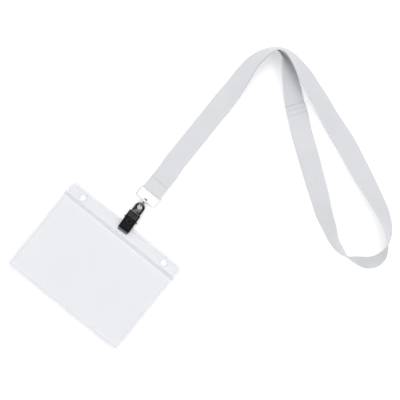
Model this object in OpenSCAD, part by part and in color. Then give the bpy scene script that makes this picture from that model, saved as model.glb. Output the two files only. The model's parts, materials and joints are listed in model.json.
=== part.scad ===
// Lanyard badge holder: a woven neck strap, a ring, a swivel eye, a spring clip and a clear pouch.
// It lies on its back on a surface at Z = 0. +Y runs from the pouch up to the strap, +Z is up.
// The origin is under the clip's pivot, on the flat underside of the clip's back jaw.

/* [Strap] */
// Width of the woven ribbon
strap_w = 20; // [16:0.5:24]
// Thickness of the woven ribbon
strap_t = 0.8; // [0.5:0.05:1]
// Distance of the sewn line from the ring's bar
stitch_y = 11.6; // [9:0.1:14]
// Diameter of the sewing thread
thread_d = 0.4; // [0.2:0.05:0.6]
// Length of one stitch
stitch_len = 1.8; // [1:0.1:2.5]
// Stitches in one row
stitch_count = 7; // [5:1:7]

/* [Ring] */
// Diameter of the ring's wire
ring_wire_d = 1.6; // [1.2:0.1:2]
// Height of the ring, from bar to bar, between the wires' middles
ring_h = 11.4; // [10:0.1:16]
// Side clearance between the strap and the ring
ring_side_gap = 0.2; // [0.1:0.05:1]
// Bending radius of the ring's lower corners
ring_corner_r = 2; // [1.5:0.1:3]
// Diameter of the boss that holds the swivel
hub_d = 3.8; // [3.4:0.1:5]
// Length of the boss
hub_len = 2.4; // [2:0.1:4]

/* [Swivel] */
// Diameter of the swivel's shank
shank_d = 1.8; // [1.4:0.1:2]
// Radial running clearance of every pin and shank
run_gap = 0.05; // [0.02:0.01:0.1]
// Diameter of the swivel's head
head_d = 3.8; // [3.2:0.1:5]
// Height of the swivel's head
head_h = 1.1; // [0.8:0.1:1.5]
// Thickness of the swivel's collar
collar_t = 0.6; // [0.5:0.1:1]
// Diameter of the wire of the swivel's eye
eye_wire_d = 1.4; // [1:0.1:1.6]

/* [Clip] */
// Sheet thickness of the jaws and the tongue
metal_t = 0.8; // [0.6:0.05:0.9]
// Width of the front jaw
front_w = 12.3; // [12:0.1:16]
// Width of the back jaw's lip
lip_w = 11.1; // [9:0.1:11.8]
// Distance from the pivot to the front jaw's tip
jaw_len = 12.6; // [11:0.1:18]
// Distance from the pivot to the thumb end of both jaws
lever_len = 7.8; // [7:0.1:10]
// How far the back jaw's lip stands out past the front jaw's tip
lip_out = 2.2; // [0.5:0.1:3]
// Slope of the front jaw
jaw_slope = 20; // [19:0.5:24]
// Length of the flat foot at the front jaw's tip
foot_len = 2; // [1.5:0.1:3]
// Height of the pivot pin's axis
pivot_z = 3.4; // [3.2:0.1:3.5]
// Diameter of the pivot pin
pin_d = 1.8; // [1.4:0.1:2]
// How far each end of the pin stands out of the front jaw
pin_out = 1; // [0.5:0.1:2]
// Radius of the ears around the pin
ear_r = 1.7; // [1.5:0.05:1.8]
// Clearance between parts that move side by side
side_gap = 0.15; // [0.1:0.05:0.2]
// Distance from the pivot to the middle of the tongue's hole
tongue_hole_y = 14.5; // [13:0.1:20]
// Diameter of the tongue's hole
tongue_hole_d = 4.6; // [4.2:0.1:5.4]
// Width of the tongue
tongue_w = 10.3; // [9:0.1:10.4]
// Width of the metal between the tongue's hole and its end
tongue_rim = 2.4; // [2:0.1:3]
// Angle that the clip hangs at, about the swivel's eye
clip_turn = 2.5; // [0:0.5:5]
// Diameter of the spring's wire
spring_wire_d = 0.6; // [0.5:0.05:0.7]
// Full turns in each of the spring's two coils
coil_count = 2; // [1:1:2]
// Clearance at each end of a coil
coil_gap = 0.06; // [0.03:0.01:0.1]
// Ribs on the thumb lever
rib_count = 4; // [2:1:4]
// Distance from one rib to the next
rib_pitch = 1.3; // [1:0.1:1.5]
// Radius of a rib
rib_r = 0.35; // [0.2:0.05:0.5]
// Height of the front jaw's side flanges
flange_h = 1.6; // [1.2:0.1:2]
// Distance of the round dimple from the pivot
dimple_y = -2.3; // [-4:0.1:-1]
// Radius of the dimple's hollow
dimple_r = 6; // [4:0.5:10]
// Depth of the dimple
dimple_depth = 0.45; // [0.1:0.05:0.5]

/* [Pouch] */
// Width of the pouch
pouch_w = 134; // [100:1:170]
// Height of the pouch
pouch_h = 103; // [80:1:140]
// Thickness of one vinyl sheet
vinyl_t = 0.4; // [0.25:0.05:0.4]
// Depth of the empty pocket
pocket_gap = 0.5; // [0.3:0.05:1.2]
// Radius of the pouch's corners
pouch_corner_r = 4.8; // [2:0.1:8]
// Width of the welded border
weld_w = 3; // [2:0.1:5]
// Height of the header strip
header_h = 12.2; // [12:0.1:14]
// Height of the single sheet between the header strip and the pocket's mouth
mouth_h = 4.1; // [3:0.1:8]
// Distance of each chain hole from the pouch's side
hole_side = 17.5; // [12:0.5:24]
// Height left below each chain hole
hole_margin = 2.3; // [1:0.1:3]
// Diameter of the chain holes
hole_d = 4.6; // [3:0.1:5]
// How far the pouch is clipped off its middle
pouch_off = 1.5; // [0:0.1:4]
// How far the pouch's top edge goes into the jaws
grip_depth = 7.5; // [5:0.1:9]
// Clearance between the pouch and each jaw
grip_gap = 0.1; // [0.05:0.01:0.2]

/* [Hidden] */

$fn = 48;
eps = 0.01;
stitch_lift = 0.06;

half_w = strap_w / 2;
wire_r = ring_wire_d / 2;
eye_r = eye_wire_d / 2;
pin_r = pin_d / 2;

// Heights of the pouch between the jaws.
pouch_z = metal_t + grip_gap;
header_z = pouch_z + vinyl_t;
foot_z = header_z + vinyl_t + grip_gap;
pouch_top = -jaw_len + grip_depth;

// The clip hangs from the swivel's eye, whose wire goes through the tongue's hole.
eye_wire_y = tongue_hole_y + tongue_hole_d / 2 - eye_r - side_gap;
tongue_end = tongue_hole_y + tongue_hole_d / 2 + tongue_rim;
collar_y = tongue_end + 0.8;
hub_y = collar_y + collar_t + 0.2;
ring_low_y = hub_y + hub_len / 2;
fold_y = ring_low_y + ring_h;
arm_x = half_w + ring_side_gap + wire_r;

// The ears stand side by side along the pin: the spring, the back jaw and the front jaw.
front_ear_in = front_w / 2 - metal_t;
back_ear_out = front_ear_in - side_gap;
back_ear_in = back_ear_out - metal_t;
coil_turns = coil_count + 0.5;
coil_pitch = spring_wire_d + 0.05;
coil_len = coil_turns * coil_pitch + spring_wire_d;
knuckle_half = back_ear_in - coil_len - 2 * coil_gap;
coil_r = pin_r + 0.4 + spring_wire_d / 2;

// The front jaw bends up from its flat foot, and its underside then climbs along this slope.
jaw_bend_y = -jaw_len + foot_len;
function under_jaw(y) = foot_z + (y - jaw_bend_y) * tan(jaw_slope);

// The chain holes, measured from the middle of the pouch's top edge.
hole_x = pouch_w / 2 - hole_side;
hole_y = header_h - hole_margin - hole_d / 2;

// The ribbon's route. Each row is [x, y, lean, rise, gap]. The lean raises the edge that is nearer
// the middle of the loop, or of the first bend on the doubled stretch and the back end. The rise
// lifts both layers, and the gap is the height of the upper layer's middle over the lower one's.
doubled = [
    [0, fold_y + 4.6, 0, 1.7, 2], [0, fold_y + stitch_y, 0, 1.9, 1], [0, fold_y + 22.6, 0, 1.3, 1],
    [-1, 70, 0, 0.6, 1], [-1, 85, 0, 0, 1], [-1, 107, 0, 0, 1], [-1, 130, 0, 0, 1],
    [-1, 144, 10, 0, 1], [-1, 160, 25, 0, 1], [-2, 176, 38, 0, 1], [-2, 189, 50, 0, 1],
    [0, 198, 57, 0, 1], [3, 206, 67, 0, 1], [7, 212, 75, 0, 1]
];
outer = [
    [14, 216, 72, 0, 1], [23, 216, 63, 0, 1], [35, 213, 51, 0, 1], [46, 210, 40, 0, 0.6],
    [57, 206, 34, 0, 0.2], [71, 201, 28, 0, 0], [86, 195, 22, 0, 0], [100, 190, 15, 0, 0],
    [115, 185, 8, 0, 0], [129, 179, 12, 0, 0], [143, 173, 18, 0, 0], [157, 167, 26, 0, 0],
    [171, 161, 36, 0, 0], [184, 155, 45, 0, 0], [196, 147, 58, 0, 0], [203, 139, 70, 0, 0],
    [207, 130, 88, 0, 0]
];
bend = [
    [208, 122, 105, 0, 0], [206, 115, 115, 0, 0], [202, 110, 119, 0, 0], [196, 106, 116, 0, 0],
    [189, 103, 103, 0, 0]
];
inner = [
    [182, 101, 90, 0, 0], [173, 102, 77, 0, 0], [162, 106, 68, 0, 0], [153, 112, 57, 0, 0],
    [141, 119, 45, 0, 0], [129, 128, 35, 0, 0], [118, 136, 27, 0, 0], [107, 144, 20, 0, 0],
    [96, 152, 13, 0, 0], [85, 160, 6, 0, 0.1], [74, 168, 0, 0, 0.6], [64, 176, -8, 0, 1],
    [61, 178, -10, 0, 1], [57, 181, -13, 0, 1], [54, 183, -16, 0, 1]
];
back_end = [
    [14, 212, 72, 0, 0], [21, 209, 58, 0, 0], [30, 203, 43, 0, 0], [41, 194, 28, 0, 0],
    [54, 183, 16, 0, 0], [57, 181, 13, 0, 0], [61, 178, 10, 0, 0], [64, 176, 8, 0, 0]
];

function unit(v) = v / norm(v);
function reversed(list) = [for (i = [len(list) - 1:-1:0]) list[i]];

// The direction across the ribbon that points away from the middle of the loop.
function outwards(rows, i, side) =
    let (a = rows[max(i - 1, 0)], b = rows[min(i + 1, len(rows) - 1)],
         along = unit([b[0] - a[0], b[1] - a[1], 0]))
    side * cross(along, [0, 0, 1]);

// A station is [middle, direction across the ribbon, direction out of its upper face].
function station(row, out, lift) =
    let (up = cos(row[2]) * [0, 0, 1] + sin(row[2]) * out,
         z = half_w * abs(sin(row[2])) + strap_t / 2 * abs(cos(row[2])) + 0.1 + row[3])
    [[row[0], row[1], z] + lift * up, cos(row[2]) * out - sin(row[2]) * [0, 0, 1], up];

front_rows = concat(reversed(inner), reversed(bend), reversed(outer), reversed(doubled));
back_rows = concat(doubled, back_end);
fold_r = wire_r + 0.1 + strap_t / 2;
strap_stations = concat(
    [for (i = [0:len(front_rows) - 1])
        station(front_rows[i], outwards(front_rows, i, 1), front_rows[i][4])],
    [for (a = [90:30:270])
        [[0, fold_y + fold_r * cos(a), pivot_z + fold_r * sin(a)], [-1, 0, 0], [0, cos(a), sin(a)]]],
    [for (i = [0:len(back_rows) - 1]) station(back_rows[i], outwards(back_rows, i, -1), 0)]
);

// The ribbon's cross-section, with slightly thinner edges.
edge_t = strap_t / 4;
strap_section = [
    [half_w, edge_t], [half_w - 0.5, strap_t / 2], [-half_w + 0.5, strap_t / 2], [-half_w, edge_t],
    [-half_w, -edge_t], [-half_w + 0.5, -strap_t / 2], [half_w - 0.5, -strap_t / 2],
    [half_w, -edge_t]
];

// The two triangles between a step of one ring and the same step of the next, cut along
// either diagonal.
function step_faces(a, a_next, b, b_next, other) = other
    ? [[a, b, a_next], [b, b_next, a_next]]
    : [[a, b, b_next], [a, b_next, a_next]];

// A closed tube through rings of points that all have the same number of points. Opposite sides
// are cut along the same diagonal, so that a thin twisted ribbon keeps its thickness, and so are
// two layers that run side by side after the route turns back at ring number turn.
module tube(rings, turn = 0) {
    n = len(rings[0]);
    m = len(rings);
    polyhedron(
        points = [for (ring = rings) for (p = ring) p],
        faces = concat(
            [[for (k = [0:n - 1]) k]],
            [for (i = [0:m - 2]) for (k = [0:n - 1])
                let (next = (k + 1) % n, other = (k >= n / 2) != (i >= turn))
                each step_faces(i * n + k, i * n + next, (i + 1) * n + k, (i + 1) * n + next, other)],
            [[for (k = [n - 1:-1:0]) (m - 1) * n + k]]
        ),
        convexity = 8
    );
}

// Rings of a tube that follows the stations: the section stays square to the route.
function flat_rings(stations, section) = [
    for (i = [0:len(stations) - 1])
        let (a = stations[max(i - 1, 0)][0], b = stations[min(i + 1, len(stations) - 1)][0],
             along = unit(b - a),
             out = unit(stations[i][1] - (stations[i][1] * along) * along),
             up = cross(along, out))
        [for (p = section) stations[i][0] + p[0] * out + p[1] * up]
];

// Rings of a round wire through the given points.
function wire_rings(points, r, sides) = [
    for (i = [0:len(points) - 1])
        let (along = unit(points[min(i + 1, len(points) - 1)] - points[max(i - 1, 0)]),
             hint = abs(along[0]) > 0.9 ? [0, 1, 0] : [1, 0, 0],
             out = unit(hint - (hint * along) * along),
             up = cross(along, out))
        [for (k = [0:sides - 1]) points[i] + r * (cos(360 * k / sides) * out + sin(360 * k / sides) * up)]
];

// One row of stitches across the ribbon at a station, lying on its upper face.
module stitch_row(at) {
    pitch = (strap_w - 4) / (stitch_count - 1);
    along = unit(cross(at[1], at[2]));
    for (k = [0:stitch_count - 1]) {
        middle = at[0] + (k - (stitch_count - 1) / 2) * pitch * at[1]
                 + (strap_t / 2 + thread_d / 2 + stitch_lift) * at[2];
        multmatrix([
            [along[0], at[2][0], at[1][0], middle[0]],
            [along[1], at[2][1], at[1][1], middle[1]],
            [along[2], at[2][2], at[1][2], middle[2]],
            [0, 0, 0, 1]
        ]) cylinder(d = thread_d, h = stitch_len, center = true, $fn = 16);
    }
}

// Places a piece of the clip, which hangs at an angle: it turns about the tongue's hole.
module hung() {
    translate([0, tongue_hole_y, 0]) rotate([0, 0, clip_turn]) translate([0, -tongue_hole_y, 0])
        children();
}

// A cylinder along X, centred on the pivot's axis.
module on_pivot(r, x0, x1) {
    translate([x0, 0, pivot_z]) rotate([0, 90, 0]) cylinder(r = r, h = x1 - x0);
}

// Extrudes a side outline, drawn in Y and Z, from x0 to x1.
module side_plate(x0, x1) {
    translate([x0, 0, 0]) rotate([90, 0, 90]) linear_extrude(x1 - x0) children();
}

module both_sides() {
    children();
    mirror([1, 0, 0]) children();
}

module rounded_panel(w, h, r) {
    translate([r - w / 2, -h + r]) square([w - 2 * r, h - 2 * r]);
    translate([-w / 2, -h + r]) square([w, h - 2 * r]);
    translate([r - w / 2, -h]) square([w - 2 * r, h]);
    for (x = [r - w / 2, w / 2 - r])
        for (y = [-r, r - h])
            translate([x, y]) circle(r);
}

module in_pouch() {
    translate([pouch_off, pouch_top, 0]) children();
}

module strap() {
    color("#DEE0E2") tube(flat_rings(strap_stations, strap_section), len(front_rows) + 3);
}

module ring_stitching() {
    color("#D2D4D7") stitch_row(station(doubled[1], [-1, 0, 0], doubled[1][4]));
}

module lap_stitching() {
    color("#D2D4D7") for (i = [1, 2]) stitch_row(strap_stations[i]);
}

module ring() {
    low = ring_low_y + ring_corner_r;
    color("#D8D8D6") translate([0, 0, pivot_z]) difference() {
        union() {
            translate([-arm_x, fold_y, 0]) rotate([0, 90, 0]) cylinder(r = wire_r, h = 2 * arm_x);
            both_sides() {
                translate([arm_x, fold_y, 0]) sphere(wire_r);
                translate([arm_x, low, 0]) rotate([-90, 0, 0]) cylinder(r = wire_r, h = fold_y - low);
                translate([arm_x - ring_corner_r, low, 0]) rotate([0, 0, -90])
                    rotate_extrude(angle = 90) translate([ring_corner_r, 0]) circle(wire_r);
            }
            translate([-arm_x + ring_corner_r, ring_low_y, 0]) rotate([0, 90, 0])
                cylinder(r = wire_r, h = 2 * (arm_x - ring_corner_r));
            translate([0, hub_y, 0]) rotate([-90, 0, 0]) cylinder(d = hub_d, h = hub_len);
        }
        translate([0, hub_y - 1, 0]) rotate([-90, 0, 0])
            cylinder(r = shank_d / 2 + run_gap, h = hub_len + 2);
    }
}

module swivel_eye() {
    head_y = hub_y + hub_len + 0.2;
    loop_r = metal_t / 2 + 0.25 + eye_r;
    color("#77787A") translate([0, 0, pivot_z]) {
        translate([0, collar_y, 0]) rotate([-90, 0, 0]) cylinder(d = hub_d, h = collar_t);
        translate([0, collar_y, 0]) rotate([-90, 0, 0])
            cylinder(d = shank_d, h = head_y - collar_y + eps);
        translate([0, head_y, 0]) rotate([-90, 0, 0]) cylinder(d1 = head_d, d2 = head_d * 0.6, h = head_h);
        translate([0, eye_wire_y + loop_r, 0]) rotate([0, 90, 0]) rotate([0, 0, 180])
            rotate_extrude(angle = 180) translate([loop_r, 0]) circle(eye_r);
        for (z = [-loop_r, loop_r])
            translate([0, eye_wire_y + loop_r, z]) rotate([-90, 0, 0])
                cylinder(r = eye_r, h = collar_y - eye_wire_y - loop_r + eps);
    }
}

module tongue() {
    wide_y = ear_r + 1.7;
    end_y = tongue_end - tongue_w / 2;
    color("#55565A") hung() difference() {
        union() {
            on_pivot(ear_r - 0.05, -knuckle_half, knuckle_half);
            translate([-knuckle_half, 0, pivot_z - metal_t / 2])
                cube([2 * knuckle_half, wide_y + eps, metal_t]);
            translate([-tongue_w / 2, wide_y, pivot_z - metal_t / 2])
                cube([tongue_w, end_y - wide_y, metal_t]);
            translate([0, end_y, pivot_z - metal_t / 2]) cylinder(d = tongue_w, h = metal_t);
        }
        on_pivot(pin_r + run_gap, -knuckle_half - 1, knuckle_half + 1);
        translate([0, tongue_hole_y, 0]) cylinder(d = tongue_hole_d, h = 2 * pivot_z);
    }
}

module back_jaw() {
    end = -jaw_len - lip_out;
    color("#17171A") hung() difference() {
        union() {
            translate([-lip_w / 2, end, 0]) cube([lip_w, jaw_len + lip_out - ear_r, metal_t]);
            translate([-back_ear_out, -ear_r - eps, 0])
                cube([2 * back_ear_out, lever_len + ear_r + eps, metal_t]);
            both_sides() {
                side_plate(back_ear_in, back_ear_out) {
                    translate([-ear_r, 0]) square([2 * ear_r, pivot_z]);
                    translate([0, pivot_z]) circle(ear_r);
                }
            }
        }
        on_pivot(pin_r + run_gap, -front_w, front_w);
    }
}

module front_jaw() {
    end_z = under_jaw(lever_len);
    skin_y = metal_t * sin(jaw_slope);
    skin_z = metal_t * cos(jaw_slope);
    rib_half = front_w / 2 - 2 * metal_t;
    color("#131316") hung() difference() {
        union() {
            side_plate(-front_w / 2, front_w / 2) polygon([
                [-jaw_len, foot_z], [jaw_bend_y, foot_z], [lever_len, end_z],
                [lever_len - skin_y, end_z + skin_z], [jaw_bend_y - skin_y, foot_z + skin_z],
                [-jaw_len, foot_z + skin_z]
            ]);
            both_sides() side_plate(front_ear_in, front_w / 2) {
                polygon([
                    [jaw_bend_y, foot_z + eps], [lever_len - 0.5, end_z - flange_h],
                    [lever_len, end_z - flange_h + 0.5], [lever_len, end_z + eps],
                    [jaw_bend_y, foot_z + skin_z / 2]
                ]);
                polygon([
                    [-ear_r, pivot_z], [ear_r, pivot_z], [ear_r + 1, under_jaw(ear_r)],
                    [-ear_r - 1, under_jaw(-ear_r - 1)]
                ]);
                translate([0, pivot_z]) circle(ear_r);
            }
            for (k = [0:rib_count - 1])
                let (back = rib_pitch * (k + 1.2))
                side_plate(-rib_half, rib_half)
                    translate([lever_len - back - skin_y, under_jaw(lever_len - back) + skin_z])
                        circle(rib_r, $fn = 24);
        }
        on_pivot(pin_r + run_gap, -front_w, front_w);
        translate([0, dimple_y, under_jaw(dimple_y) + (metal_t + dimple_r - dimple_depth) / cos(jaw_slope)])
            sphere(dimple_r);
    }
}

module pivot_pin() {
    end = front_w / 2 + pin_out;
    color("#6A6B6E") hung() on_pivot(pin_r, -end, end);
}

// The spring is one wire: a leg on the back jaw, a coil, a bridge under the front jaw,
// the other coil and its leg.
module jaw_spring() {
    first = knuckle_half + coil_gap + spring_wire_d / 2;
    last_angle = 360 * coil_turns - 90;
    leg_y = lever_len - 3.4;
    leg_z = under_jaw(leg_y) - (spring_wire_d / 2 + coil_gap) / cos(jaw_slope);
    half = concat(
        [[first + coil_turns * coil_pitch, lever_len - 2.8, metal_t + coil_gap + spring_wire_d / 2]],
        [for (a = [-90:30:last_angle])
            [first + coil_pitch * (last_angle - a) / 360, -coil_r * cos(a), pivot_z + coil_r * sin(a)]],
        [[first, leg_y, leg_z]]
    );
    color("#9A9B9E") hung() tube(wire_rings(
        concat(half, [for (p = reversed(half)) [-p[0], p[1], p[2]]]), spring_wire_d / 2, 8));
}

module pouch_back() {
    color("#E7E8ED", 0.45) in_pouch() translate([0, 0, pouch_z]) difference() {
        linear_extrude(vinyl_t) rounded_panel(pouch_w, pouch_h, pouch_corner_r);
        chain_holes();
    }
}

module chain_holes() {
    for (x = [-hole_x, hole_x])
        translate([x, -hole_y, -1]) cylinder(d = hole_d, h = 4);
}

module header_strip() {
    color("#E7E8ED", 0.45) in_pouch() translate([0, 0, header_z]) difference() {
        linear_extrude(vinyl_t) intersection() {
            rounded_panel(pouch_w, pouch_h, pouch_corner_r);
            translate([-pouch_w, -header_h]) square([2 * pouch_w, header_h]);
        }
        chain_holes();
    }
}

module pouch_front() {
    top = header_h + mouth_h;
    color("#E7E8ED", 0.45) in_pouch() translate([0, 0, header_z]) difference() {
        linear_extrude(vinyl_t + pocket_gap) intersection() {
            rounded_panel(pouch_w, pouch_h, pouch_corner_r);
            translate([-pouch_w, -pouch_h]) square([2 * pouch_w, pouch_h - top]);
        }
        translate([-pouch_w / 2 + weld_w, -pouch_h + weld_w, -1])
            cube([pouch_w - 2 * weld_w, pouch_h, pocket_gap + 1]);
    }
}

strap();
ring_stitching();
lap_stitching();
ring();
swivel_eye();
tongue();
back_jaw();
front_jaw();
pivot_pin();
jaw_spring();
pouch_back();
pouch_front();
header_strip();
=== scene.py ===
"""Lanyard badge holder: a woven neck strap, a wire ring, a swivel eye, a spring clip and a clear pouch.

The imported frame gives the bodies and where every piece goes. Lengths are in metres.
"""

import json
import math

import bmesh
import bpy
import numpy as np
from bpy.props import FloatProperty, FloatVectorProperty, IntProperty, PointerProperty
from mathutils import Matrix, Vector, noise


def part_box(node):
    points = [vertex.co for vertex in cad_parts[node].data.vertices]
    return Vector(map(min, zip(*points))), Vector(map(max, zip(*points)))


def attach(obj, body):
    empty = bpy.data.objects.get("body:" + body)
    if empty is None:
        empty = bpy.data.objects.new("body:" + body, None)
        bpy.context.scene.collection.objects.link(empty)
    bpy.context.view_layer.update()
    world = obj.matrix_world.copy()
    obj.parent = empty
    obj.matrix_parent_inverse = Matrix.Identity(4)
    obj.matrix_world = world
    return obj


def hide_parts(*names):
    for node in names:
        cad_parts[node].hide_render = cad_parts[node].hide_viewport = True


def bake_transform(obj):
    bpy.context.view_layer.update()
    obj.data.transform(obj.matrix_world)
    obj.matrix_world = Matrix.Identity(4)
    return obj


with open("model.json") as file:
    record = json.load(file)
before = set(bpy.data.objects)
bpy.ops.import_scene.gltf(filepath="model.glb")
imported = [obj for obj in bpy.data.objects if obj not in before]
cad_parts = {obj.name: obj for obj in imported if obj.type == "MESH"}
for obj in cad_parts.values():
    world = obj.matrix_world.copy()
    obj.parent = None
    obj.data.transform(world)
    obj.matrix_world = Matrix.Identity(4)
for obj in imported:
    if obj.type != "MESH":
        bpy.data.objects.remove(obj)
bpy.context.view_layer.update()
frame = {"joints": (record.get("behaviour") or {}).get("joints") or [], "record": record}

bl_info = {
    "name": "Lanyard Badge Holder",
    "version": (1, 0, 0),
    "blender": (4, 5, 0),
    "location": "View3D > Sidebar > Lanyard",
    "description": "Builds a neck strap with a ring, a swivel, a spring clip and a clear badge pouch",
    "category": "Add Mesh",
}

JOINTS = {joint["name"]: joint for joint in frame["joints"]}

# The clip hangs at an angle about the tongue's hole, and its jaws turn on the pivot pin.
HOLE = Vector(JOINTS["clip_swing"]["pos_m"])
PIVOT_Z = JOINTS["jaw_open"]["pos_m"][2]
PIN_AXIS = JOINTS["jaw_open"]["axis"]
CLIP_TURN = math.atan2(-PIN_AXIS[1], -PIN_AXIS[0])
HUNG = Matrix.Translation(HOLE) @ Matrix.Rotation(CLIP_TURN, 4, "Z") @ Matrix.Translation(-HOLE)

RING_BAR = Vector(JOINTS["ring_swing"]["pos_m"])
RING_LOW_Y = JOINTS["swivel_spin"]["pos_m"][1]

# The ribbon's route. Each row is (x, y, lean in degrees, rise, gap). The lean raises the edge nearer
# the middle of the loop, or of the first bend on the doubled stretch and the back end. The rise
# lifts both layers, and the gap is the height of the upper layer's middle over the lower one's.
DOUBLED = [
    (0, 0.038, 0, 0.0017, 0.002), (0, 0.045, 0, 0.0019, 0.001), (0, 0.056, 0, 0.0013, 0.001),
    (-0.001, 0.070, 0, 0.0006, 0.001), (-0.001, 0.085, 0, 0, 0.001), (-0.001, 0.107, 0, 0, 0.001),
    (-0.001, 0.130, 0, 0, 0.001), (-0.001, 0.144, 10, 0, 0.001), (-0.001, 0.160, 25, 0, 0.001),
    (-0.002, 0.176, 38, 0, 0.001), (-0.002, 0.189, 50, 0, 0.001), (0, 0.198, 57, 0, 0.001),
    (0.003, 0.206, 67, 0, 0.001), (0.007, 0.212, 75, 0, 0.001),
]
OUTER = [
    (0.014, 0.216, 72, 0, 0.001), (0.023, 0.216, 63, 0, 0.001), (0.035, 0.213, 51, 0, 0.001),
    (0.046, 0.210, 40, 0, 0.0006), (0.057, 0.206, 34, 0, 0.0002), (0.071, 0.201, 28, 0, 0),
    (0.086, 0.195, 22, 0, 0), (0.100, 0.190, 15, 0, 0), (0.115, 0.185, 8, 0, 0),
    (0.129, 0.179, 12, 0, 0), (0.143, 0.173, 18, 0, 0), (0.157, 0.167, 26, 0, 0),
    (0.171, 0.161, 36, 0, 0), (0.184, 0.155, 45, 0, 0), (0.196, 0.147, 58, 0, 0),
    (0.203, 0.139, 70, 0, 0), (0.207, 0.130, 88, 0, 0),
]
BEND = [
    (0.208, 0.122, 105, 0, 0), (0.206, 0.115, 115, 0, 0), (0.202, 0.110, 119, 0, 0),
    (0.196, 0.106, 116, 0, 0), (0.189, 0.103, 103, 0, 0),
]
INNER = [
    (0.182, 0.101, 90, 0, 0), (0.173, 0.102, 77, 0, 0), (0.162, 0.106, 68, 0, 0),
    (0.153, 0.112, 57, 0, 0), (0.141, 0.119, 45, 0, 0), (0.129, 0.128, 35, 0, 0),
    (0.118, 0.136, 27, 0, 0), (0.107, 0.144, 20, 0, 0), (0.096, 0.152, 13, 0, 0),
    (0.085, 0.160, 6, 0, 0.0001), (0.074, 0.168, 0, 0, 0.0006), (0.064, 0.176, -8, 0, 0.001),
    (0.061, 0.178, -10, 0, 0.001), (0.057, 0.181, -13, 0, 0.001), (0.054, 0.183, -16, 0, 0.001),
]
BACK_END = [
    (0.014, 0.212, 72, 0, 0), (0.021, 0.209, 58, 0, 0), (0.030, 0.203, 43, 0, 0),
    (0.041, 0.194, 28, 0, 0), (0.054, 0.183, 16, 0, 0), (0.057, 0.181, 13, 0, 0),
    (0.061, 0.178, 10, 0, 0), (0.064, 0.176, 8, 0, 0),
]


# ---------------------------------------------------------------- settings


def length(name, default, description):
    return FloatProperty(name=name, default=default, min=0.0, description=description,
                         subtype="DISTANCE", unit="LENGTH", precision=5)


def colour(name, default, description):
    return FloatVectorProperty(name=name, default=default, size=3, min=0.0, max=1.0,
                               subtype="COLOR", description=description)


class RibbonSettings(bpy.types.PropertyGroup):
    width: length("Width", 0.020, "Width of the woven ribbon")
    thickness: length("Thickness", 0.0008, "Thickness of the woven ribbon")
    cut_length: length("Cut length", 0.862, "Length the ribbon was cut to before it was folded")
    ring_gap: length("Ring gap", 0.0001, "Clearance between the fold and the ring's wire")
    rib_pitch: length("Weave pitch", 0.00055, "Distance from one crosswise yarn to the next")
    tint: colour("Colour", (0.575, 0.584, 0.598), "Colour of the polyester yarn")


class StitchSettings(bpy.types.PropertyGroup):
    thread: length("Thread", 0.0004, "Diameter of the sewing thread")
    stitch: length("Stitch", 0.0020, "Length of one stitch")
    margin: length("Margin", 0.002, "Distance of a row's ends from the ribbon's edges")
    count: IntProperty(name="Stitches", default=7, min=2, description="Stitches in one row")
    tint: colour("Colour", (0.52, 0.53, 0.545), "Colour of the sewing thread")


class MetalSettings(bpy.types.PropertyGroup):
    ring_wire: length("Ring wire", 0.0016, "Diameter of the ring's wire")
    ring_corner: length("Ring corner", 0.002, "Bending radius of the ring's lower corners")
    hub: length("Hub", 0.0038, "Diameter of the boss that holds the swivel")
    hub_length: length("Hub length", 0.0024, "Length of the boss")
    shank: length("Shank", 0.0018, "Diameter of the swivel's shank")
    eye_wire: length("Eye wire", 0.0014, "Diameter of the wire of the swivel's eye")
    pin: length("Pin", 0.0018, "Diameter of the pivot pin")
    pin_out: length("Pin ends", 0.001, "How far each end of the pin stands out")
    spring_wire: length("Spring wire", 0.0006, "Diameter of the spring's wire")
    bright: colour("Bright", (0.80, 0.80, 0.79), "Colour of the plated ring")
    dark: colour("Dark", (0.16, 0.16, 0.165), "Colour of the dark nickel")
    steel: colour("Spring", (0.42, 0.42, 0.43), "Colour of the spring wire")


class ClipSettings(bpy.types.PropertyGroup):
    sheet: length("Sheet", 0.0008, "Sheet thickness of the jaws and the tongue")
    front_width: length("Front width", 0.0123, "Width of the front jaw")
    lip_width: length("Lip width", 0.0111, "Width of the back jaw's lip")
    jaw: length("Jaw", 0.0126, "Distance from the pivot to the front jaw's tip")
    lever: length("Lever", 0.0078, "Distance from the pivot to the thumb end")
    lip_out: length("Lip", 0.0022, "How far the back jaw's lip stands out")
    foot: length("Foot", 0.002, "Length of the flat foot at the front jaw's tip")
    foot_height: length("Foot height", 0.0018, "Height of the underside of the foot")
    ear: length("Ear", 0.0017, "Radius of the ears around the pin")
    tongue_width: length("Tongue width", 0.0103, "Width of the tongue")
    tongue_hole: length("Tongue hole", 0.0046, "Diameter of the tongue's hole")
    tongue_rim: length("Tongue rim", 0.0024, "Metal between the hole and the tongue's end")
    knuckle: length("Knuckle", 0.00411, "Length of the tongue's rolled knuckle")
    slope: FloatProperty(name="Slope", default=math.radians(20), subtype="ANGLE", unit="ROTATION",
                         description="Slope of the front jaw")
    ribs: IntProperty(name="Ribs", default=4, min=0, description="Ribs on the thumb lever")
    tint: colour("Colour", (0.003, 0.003, 0.0035), "Colour of the black enamel")


class PouchSettings(bpy.types.PropertyGroup):
    sheet: length("Sheet", 0.0004, "Thickness of one vinyl sheet")
    corner: length("Corner", 0.0048, "Radius of the pouch's corners")
    weld: length("Weld", 0.003, "Width of the welded border")
    hole: length("Hole", 0.0046, "Diameter of the chain holes")
    ripple: length("Ripple", 0.00012, "Height of the soft vinyl's ripples")
    alpha: FloatProperty(name="Opacity", default=0.06, min=0.0, max=1.0,
                         description="Opacity of one face of a sheet")
    # The band between the header strip and the pocket's mouth is painted shade: its faces are made more
    # opaque and darker.
    mouth_band_shade: FloatProperty(name="Shaded opacity", default=0.25, min=0.0, max=1.0,
                         description="Opacity of a face between the header strip and the pocket's mouth")
    tint: colour("Colour", (0.62, 0.645, 0.72), "Colour of the clear vinyl")


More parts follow.
